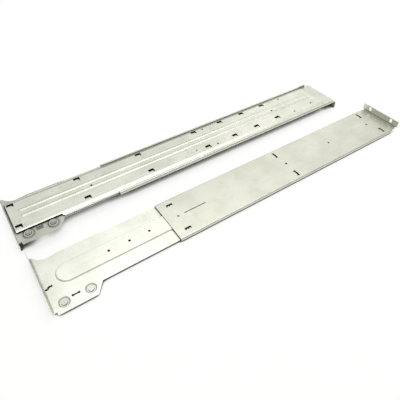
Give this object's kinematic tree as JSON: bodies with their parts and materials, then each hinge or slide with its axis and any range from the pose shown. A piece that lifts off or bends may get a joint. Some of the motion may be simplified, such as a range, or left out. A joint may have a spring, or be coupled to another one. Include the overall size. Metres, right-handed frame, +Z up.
{
  "type": "server rack rail pair",
  "caption": "Pair of telescoping sheet steel rails that carry a server in a rack, each with a flanged front bracket, an inner slide plate and a sliding rear bracket.",
  "frame": {"origin": "centre of the bounding box of the pair on the floor", "axes": "+X from the front flanges to the rear flanges, +Y towards the upper edge of each rail as fitted, +Z up from the floor with the rails lying flat"},
  "size_m": [0.8046, 0.2682, 0.0236],
  "materials": {
    "zinc_front": "zinc plated, satin",
    "zinc_plate": "zinc plated, satin",
    "zinc_rear": "zinc plated, satin with faint spangle",
    "zinc_turned": "zinc plated, bright"
  },
  "bodies": {
    "rails": {"left_front_bracket": "zinc_front", "left_slide_plate": "zinc_plate", "left_ear_stud_front": "zinc_turned", "left_ear_stud_rear": "zinc_turned", "left_ear_collar_front": "zinc_turned", "left_ear_collar_rear": "zinc_turned", "left_plate_rivets": "zinc_turned", "left_stop_rivets": "zinc_turned", "right_front_bracket": "zinc_front", "right_slide_plate": "zinc_plate", "right_ear_stud_front": "zinc_turned", "right_ear_stud_rear": "zinc_turned", "right_ear_collar_front": "zinc_turned", "right_ear_collar_rear": "zinc_turned", "right_plate_rivets": "zinc_turned", "right_stop_rivets": "zinc_turned"},
    "left_sleeve": {"left_rear_bracket": "zinc_rear"},
    "right_sleeve": {"right_rear_bracket": "zinc_rear"}
  },
  "joints": [
    {"name": "left_depth", "type": "slide", "parent": "rails", "child": "left_sleeve", "axis": [1, 0, 0], "range_m": [-0.036, 0.15]},
    {"name": "right_depth", "type": "slide", "parent": "rails", "child": "right_sleeve", "axis": [1, 0, 0], "range_m": [-0.073, 0.1125]}
  ]
}
